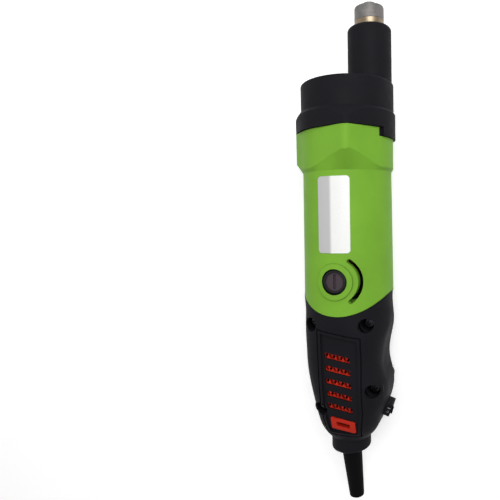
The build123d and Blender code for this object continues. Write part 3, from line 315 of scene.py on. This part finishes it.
by_slot = {
    "black_plastic": BLACK,
    "green_plastic": GREEN,
    "label_foil": LABEL,
    "red_plastic": RED,
    "black_rubber": RUBBER,
    "dark_screw": SCREW,
    "steel": STEEL,
    "brass": BRASS,
    "copper": TAPE,
    "laminations": IRON,
    "carbon": CARBON,
    "fan_plastic": FAN,
    "film_case": FILM,
}
by_node = {"gear_head": HEAD, "brush_caps": CAP, "commutator": AGED}
for part in frame["record"]["subparts"]:
    node = nodes[part["node"]]
    node.data.materials.clear()
    node.data.materials.append(by_node.get(part["node"], by_slot[part["material_slot"]]))


# Tools for new pieces.

SHARP_ANGLE = math.radians(35.0)
LATHE_STEPS = 96


def mesh_piece(name, bm, body, material):
    """A new piece from a bmesh, smooth but for its sharp edges, on its body."""
    bmesh.ops.recalc_face_normals(bm, faces=bm.faces)
    mesh = bpy.data.meshes.new(name)
    bm.to_mesh(mesh)
    bm.free()
    for face in mesh.polygons:
        face.use_smooth = True
    mesh.set_sharp_from_angle(angle=SHARP_ANGLE)
    mesh.materials.append(material)
    piece = bpy.data.objects.new(name, mesh)
    scene.collection.objects.link(piece)
    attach(piece, body)
    return piece


def skin(bm, here, there):
    """A closed band of faces between two rings with as many points."""
    for j in range(len(here)):
        k = (j + 1) % len(here)
        bm.faces.new((here[j], here[k], there[k], there[j]))


def around(steps):
    """Angles of a full turn in equal steps."""
    return [2 * math.pi * i / steps for i in range(steps)]


def lathe(profile):
    """A closed profile of (radius, y) in model millimetres, turned about the nose axis."""
    bm = bmesh.new()
    rings = []
    for angle in around(LATHE_STEPS):
        places = [spot(NOSE_OFFSET + r * math.cos(angle), y, r * math.sin(angle)) for r, y in profile]
        rings.append([bm.verts.new(place) for place in places])
    for here, there in zip(rings, rings[1:] + rings[:1]):
        skin(bm, here, there)
    return bm


# Blade flange with the chamfered rim that the photograph shows, on a hollow stem with a pilot.

TIP_R = 8.7
TIP_HOLLOW_R = 5.05
TIP_STEM_R = 3.0
TIP_BORE_R = 2.5
TIP_STEM_Y = 58.95
TIP_FOOT_Y = 63.95
TIP_WEB_Y = 71.85
TIP_FOOT_EDGE = 0.2
RIM_START_Y = 71.3
RIM_TURN = (8.55, 71.6)
RIM_END = (5.6, 72.72)
SEAT_R = 5.2
PILOT_R = 4.0
PILOT_TOP_Y = 74.3
PILOT_EDGE = 0.25


def blade_tip():
    return lathe([
        (TIP_BORE_R, TIP_STEM_Y),
        (TIP_STEM_R, TIP_STEM_Y),
        (TIP_STEM_R, TIP_WEB_Y),
        (TIP_HOLLOW_R, TIP_WEB_Y),
        (TIP_HOLLOW_R, TIP_FOOT_Y),
        (TIP_R - TIP_FOOT_EDGE, TIP_FOOT_Y),
        (TIP_R, TIP_FOOT_Y + TIP_FOOT_EDGE),
        (TIP_R, RIM_START_Y),
        RIM_TURN,
        RIM_END,
        (SEAT_R, SEAT_Y),
        (PILOT_R, SEAT_Y),
        (PILOT_R, PILOT_TOP_Y - PILOT_EDGE),
        (PILOT_R - PILOT_EDGE, PILOT_TOP_Y),
        (TIP_BORE_R + PILOT_EDGE, PILOT_TOP_Y),
        (TIP_BORE_R, PILOT_TOP_Y - PILOT_EDGE),
    ])


tip = mesh_piece("blade_tip", blade_tip(), "spindle", TIP)
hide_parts("blade_flange")

# Leads from the cord clamp to the motor, behind the vents. The path holds y, spread of the row and z.

LEAD_R = 1.25
LEAD_X = (-7.6, -5.2, -2.8, -0.4, 2.0, 4.4, 6.8, 9.2)
LEAD_PATH = (
    (-181.5, 0.5, -8.2),
    (-176.0, 0.92, -9.0),
    (-158.0, 1.0, -9.4),
    (-138.0, 1.0, -8.8),
    (-119.0, 0.95, -8.4),
)
LEAD_STEPS = 40
LEAD_SIDES = 10
WAVE_RATE = 0.11
WAVE_PHASE = 1.7
SWAY_X = 0.18
SWAY_Z = 0.3
LEAD_SLACK = 1e-6


def lead_place(y):
    """Spread of the row of leads and its z at a height y, eased between the points of the path."""
    for (y0, spread0, z0), (y1, spread1, z1) in zip(LEAD_PATH, LEAD_PATH[1:]):
        if y <= y1 + LEAD_SLACK:
            break
    share = (y - y0) / (y1 - y0)
    share = share * share * (3 - 2 * share)
    return spread0 + (spread1 - spread0) * share, z0 + (z1 - z0) * share


def motor_leads():
    """Round leads side by side, each with its own slight wave."""
    bm = bmesh.new()
    first, last = LEAD_PATH[0][0], LEAD_PATH[-1][0]
    for number, x in enumerate(LEAD_X):
        rings = []
        for i in range(LEAD_STEPS + 1):
            y = first + (last - first) * i / LEAD_STEPS
            spread, z = lead_place(y)
            wave = math.sin(WAVE_RATE * y + WAVE_PHASE * number)
            cx = x * spread + SWAY_X * wave
            cz = z + SWAY_Z * wave
            rings.append([
                bm.verts.new(spot(cx + LEAD_R * math.cos(a), y, cz + LEAD_R * math.sin(a)))
                for a in around(LEAD_SIDES)])
        for here, there in zip(rings, rings[1:]):
            skin(bm, here, there)
        bm.faces.new(rings[0])
        bm.faces.new(rings[-1])
    return bm


mesh_piece("motor_leads", motor_leads(), "body", LEAD)

# A pale stroke and a ring on the side of the switch bezel, placed by (out of the handle, along it).

SWITCH_TURN = math.radians(17.5)
SWITCH_OUT = Vector((math.cos(SWITCH_TURN), -math.sin(SWITCH_TURN), 0))
SWITCH_ALONG = Vector((math.sin(SWITCH_TURN), math.cos(SWITCH_TURN), 0))
SWITCH_FACE = Vector((22.7, -168.0, 6.0))
INK_SINK = 0.02
INK_LIFT = 0.06
STROKE_AT = (3.2, 1.5)
STROKE_HALF = 0.7
STROKE_R = 0.24
RING_AT = (3.1, -0.9)
RING_OUTER_R = 0.62
RING_INNER_R = 0.45
END_STEPS = 8
RING_STEPS = 28


def print_mark(name, loops):
    """A raised ink film between an outer loop and an optional inner one, on the bezel's side."""
    bm = bmesh.new()
    walls = []
    for loop in loops:
        low, high = [], []
        for out, along in loop:
            at = SWITCH_FACE + out * SWITCH_OUT + along * SWITCH_ALONG
            low.append(bm.verts.new(spot(at.x, at.y, at.z - INK_SINK)))
            high.append(bm.verts.new(spot(at.x, at.y, at.z + INK_LIFT)))
        walls.append((low, high))
        skin(bm, low, high)
    if len(walls) == 1:
        for ring in walls[0]:
            bm.faces.new(ring)
    else:
        for outer, inner in zip(*walls):
            skin(bm, outer, inner)
    return mesh_piece(name, bm, "body", INK)


def stadium(at, half, radius):
    """A round-ended stroke along the way out of the bezel."""
    points = []
    for side in (1, -1):
        for i in range(END_STEPS + 1):
            angle = side * math.pi / 2 - math.pi * i / END_STEPS
            points.append((at[0] + side * half + radius * math.cos(angle), at[1] + radius * math.sin(angle)))
    return points


def circle(at, radius):
    return [(at[0] + radius * math.cos(a), at[1] + radius * math.sin(a)) for a in around(RING_STEPS)]


print_mark("switch_on_mark", [stadium(STROKE_AT, STROKE_HALF, STROKE_R)])
print_mark("switch_off_mark", [circle(RING_AT, RING_OUTER_R), circle(RING_AT, RING_INNER_R)])

# Hidden cutters: the flat facets under the flange ridge and the end of the nose tube.

TUBE_R = 27.04
FLANGE_R = 28.27
RIDGE_R = 33.8
RIDGE_TURN = math.radians(16.7)
FACET_FOOT_Y = -23.9
FACET_APEX_Y = -13.6
FACET_FALL = 0.41
FACET_HALF = math.radians(49.5)
FACET_STEPS = 46
FACET_SIDE_GAP = 0.05
FACET_FOOT_GAP = 0.03
FACET_REACH = 4

NOSE_R = 13.0
NOSE_END_Y = 60.0
NOSE_ROUND = 2.2
NOSE_ROUND_STEP = 11.5
NOSE_ROUND_POINTS = 7
NOSE_SIDE_GAP = 0.3
NOSE_CUT_R = (1.0, 20.0)
NOSE_CUT_TOP_Y = 63.0

WELD_GAP = 0.000001
HOUSING_CREASE = math.radians(12.0)
HEAD_CREASE = math.radians(28.0)


def facet_cutter():
    """Wedge outside the two flat facets under the flange ridge: their upper edges run straight."""
    inner, base = TUBE_R + FACET_SIDE_GAP, FACET_FOOT_Y + FACET_FOOT_GAP
    over = RIDGE_R + FACET_REACH
    tangent = math.acos(FLANGE_R / RIDGE_R)
    bm = bmesh.new()
    slices = []
    for i in range(FACET_STEPS + 1):
        angle = FACET_HALF * (2 * i / FACET_STEPS - 1)
        surface = FLANGE_R / math.cos(max(0.0, tangent - abs(angle)))
        height = FACET_APEX_Y - FACET_FALL * surface * math.sin(abs(angle))
        slope = (height - base) / (surface - inner)
        corners = ((inner, base), (over, base + slope * (over - inner)), (over, base))
        turn = RIDGE_TURN + angle
        places = [spot(r * math.sin(turn), y, r * math.cos(turn)) for r, y in corners]
        slices.append([bm.verts.new(place) for place in places])
    for here, there in zip(slices, slices[1:]):
        skin(bm, here, there)
    bm.faces.new(slices[0])
    bm.faces.new(slices[-1])
    return bm


def nose_cutter():
    """Ring that takes the end of the nose tube down by a millimetre, with a rounded shoulder."""
    inner, outer = NOSE_CUT_R
    centre_r, centre_y = NOSE_R - NOSE_ROUND, NOSE_END_Y - NOSE_ROUND
    profile = [(inner, NOSE_END_Y), (centre_r, NOSE_END_Y)]
    for i in range(1, NOSE_ROUND_POINTS + 1):
        angle = math.radians(90 - NOSE_ROUND_STEP * i)
        profile.append((centre_r + NOSE_ROUND * math.cos(angle), centre_y + NOSE_ROUND * math.sin(angle)))
    profile += [
        (NOSE_R + NOSE_SIDE_GAP, centre_y),
        (outer, centre_y),
        (outer, NOSE_CUT_TOP_Y),
        (inner, NOSE_CUT_TOP_Y),
    ]
    return lathe(profile)


def trim(node, name, bm, material, crease):
    """Cuts a node with a hidden piece, by modifiers alone, and keeps its creases crisp."""
    cutter = mesh_piece(name, bm, "body", material)
    cutter.hide_render = True
    cutter.hide_viewport = True
    weld = node.modifiers.new("weld", "WELD")
    weld.merge_threshold = WELD_GAP
    cut = node.modifiers.new("cut", "BOOLEAN")
    cut.operation = "DIFFERENCE"
    cut.solver = "EXACT"
    cut.object = cutter
    creases = node.modifiers.new("creases", "EDGE_SPLIT")
    creases.split_angle = crease


trim(nodes["motor_housing"], "facet_cutter", facet_cutter(), GREEN, HOUSING_CREASE)
trim(nodes["gear_head"], "nose_cutter", nose_cutter(), HEAD, HEAD_CREASE)

# Camera: solved from the silhouette of the tool; the view is centred on the tool's own axis and shifted.
# In the camera's own axes x runs right, y down and z away, in millimetres.

IMAGE_PX = 500
SENSOR_MM = 36.0
FOCAL_PX = 450.7
SHIFT_PX = 98.6
AXIS_DISTANCE = 281.7
AXIS_TO_TAIL = Vector((0.0165, 0.9968, 0.0776)).normalized()
SEAM_RISE = 71.15
TOOL_TURN = math.radians(18.0)
CLIP_START = 0.01


def photo_camera():
    """Camera of the photograph, from where the tool's axis lies before it and how far the tool is turned."""
    on_axis = Vector((0.0, 0.0, AXIS_DISTANCE))
    to_eye = (-on_axis - (-on_axis).dot(AXIS_TO_TAIL) * AXIS_TO_TAIL).normalized()
    leftward = AXIS_TO_TAIL.cross(to_eye)
    front = math.cos(TOOL_TURN) * to_eye + math.sin(TOOL_TURN) * leftward
    nose = -AXIS_TO_TAIL
    side = nose.cross(front)
    seam = on_axis - SEAM_RISE * AXIS_TO_TAIL
    eye = spot(-seam.dot(side), -seam.dot(nose), -seam.dot(front))
    right = Vector((side.x, nose.x, front.x))
    up = -Vector((side.y, nose.y, front.y))
    back = -Vector((side.z, nose.z, front.z))
    data = bpy.data.cameras.new("photo_camera")
    data.sensor_width = SENSOR_MM
    data.lens = FOCAL_PX / IMAGE_PX * SENSOR_MM
    data.shift_x = -SHIFT_PX / IMAGE_PX
    data.clip_start = CLIP_START
    camera = bpy.data.objects.new("photo_camera", data)
    rows = [(right[i], up[i], back[i], eye[i]) for i in range(3)]
    camera.matrix_world = Matrix((*rows, (0, 0, 0, 1)))
    scene.collection.objects.link(camera)
    return camera


scene.camera = photo_camera()

# Floor: a pale sheet that touches the skirt of the head and the back of the handle.

FLOOR_TILT = math.radians(0.9)
FLOOR_AT = spot(0, -19.6, -29.95)
FLOOR_HALF = 1.6
PAPER_GREY = 0.74
PAPER_GLOW = 0.5


def seen_rays(tree):
    """A value that is 1 for camera, glossy and transmission rays."""
    path = tree.nodes.new("ShaderNodeLightPath")
    seen = path.outputs["Is Camera Ray"]
    for kind in ("Is Glossy Ray", "Is Transmission Ray"):
        either = tree.nodes.new("ShaderNodeMath")
        either.operation = "MAXIMUM"
        tree.links.new(seen, either.inputs[0])
        tree.links.new(path.outputs[kind], either.inputs[1])
        seen = either.outputs[0]
    return seen


def floor_paper():
    """Matt pale paper, with a glow of its own where it is seen."""
    material = bpy.data.materials.new("floor_paper")
    material.use_nodes = True
    tree = material.node_tree
    tree.nodes.clear()
    paper = tree.nodes.new("ShaderNodeBsdfDiffuse")
    paper.inputs["Color"].default_value = (PAPER_GREY, PAPER_GREY, PAPER_GREY, 1)
    gain = tree.nodes.new("ShaderNodeMath")
    gain.operation = "MULTIPLY"
    gain.inputs[1].default_value = PAPER_GLOW
    tree.links.new(seen_rays(tree), gain.inputs[0])
    glow = tree.nodes.new("ShaderNodeEmission")
    glow.inputs["Color"].default_value = (1, 1, 1, 1)
    tree.links.new(gain.outputs[0], glow.inputs["Strength"])
    both = tree.nodes.new("ShaderNodeAddShader")
    tree.links.new(paper.outputs[0], both.inputs[0])
    tree.links.new(glow.outputs[0], both.inputs[1])
    out = tree.nodes.new("ShaderNodeOutputMaterial")
    tree.links.new(both.outputs[0], out.inputs["Surface"])
    return material


floor_mesh = bpy.data.meshes.new("floor")
floor_corners = [(FLOOR_HALF * x, FLOOR_HALF * y, 0) for x, y in ((-1, -1), (1, -1), (1, 1), (-1, 1))]
floor_mesh.from_pydata(floor_corners, [], [(0, 1, 2, 3)])
floor_mesh.materials.append(floor_paper())
floor = bpy.data.objects.new("floor", floor_mesh)
floor.location = FLOOR_AT
floor.rotation_euler = (-FLOOR_TILT, 0, 0)
scene.collection.objects.link(floor)

# World: soft light that falls off from the nose end to the cord end, white where it is seen.

SKY_AT_CORD = 0.22
SKY_AT_NOSE = 0.62
SKY_SEEN = 1.0


def studio():
    world = bpy.data.worlds.new("studio")
    world.use_nodes = True
    tree = world.node_tree
    tree.nodes.clear()
    heading = tree.nodes.new("ShaderNodeTexCoord")
    lengthwise = tree.nodes.new("ShaderNodeSeparateXYZ")
    tree.links.new(heading.outputs["Generated"], lengthwise.inputs[0])
    soft = tree.nodes.new("ShaderNodeMapRange")
    soft.inputs["From Min"].default_value = -1.0
    soft.inputs["From Max"].default_value = 1.0
    soft.inputs["To Min"].default_value = SKY_AT_CORD
    soft.inputs["To Max"].default_value = SKY_AT_NOSE
    tree.links.new(lengthwise.outputs["Y"], soft.inputs["Value"])
    level = tree.nodes.new("ShaderNodeMix")
    tree.links.new(seen_rays(tree), level.inputs[0])
    tree.links.new(soft.outputs["Result"], level.inputs[2])
    level.inputs[3].default_value = SKY_SEEN
    sky = tree.nodes.new("ShaderNodeBackground")
    tree.links.new(level.outputs[0], sky.inputs["Strength"])
    out = tree.nodes.new("ShaderNodeOutputWorld")
    tree.links.new(sky.outputs[0], out.inputs["Surface"])
    return world


scene.world = studio()


def lamp(name, at, aim, width, height, watts):
    """A soft box at one model point that faces another, its sides in metres."""
    data = bpy.data.lights.new(name, "AREA")
    data.shape = "RECTANGLE"
    data.size = width
    data.size_y = height
    data.energy = watts
    box = bpy.data.objects.new(name, data)
    box.location = spot(*at)
    box.rotation_euler = (spot(*aim) - box.location).to_track_quat("-Z", "Y").to_euler()
    scene.collection.objects.link(box)


lamp("key", at=(220, 250, 530), aim=(0, -50, 0), width=0.3, height=0.5, watts=2.7)
lamp("strip", at=(190, -40, 560), aim=(8, -40, 0), width=0.035, height=0.5, watts=0.5)
lamp("fill", at=(-420, 40, 420), aim=(0, -60, 0), width=0.4, height=0.6, watts=0.6)
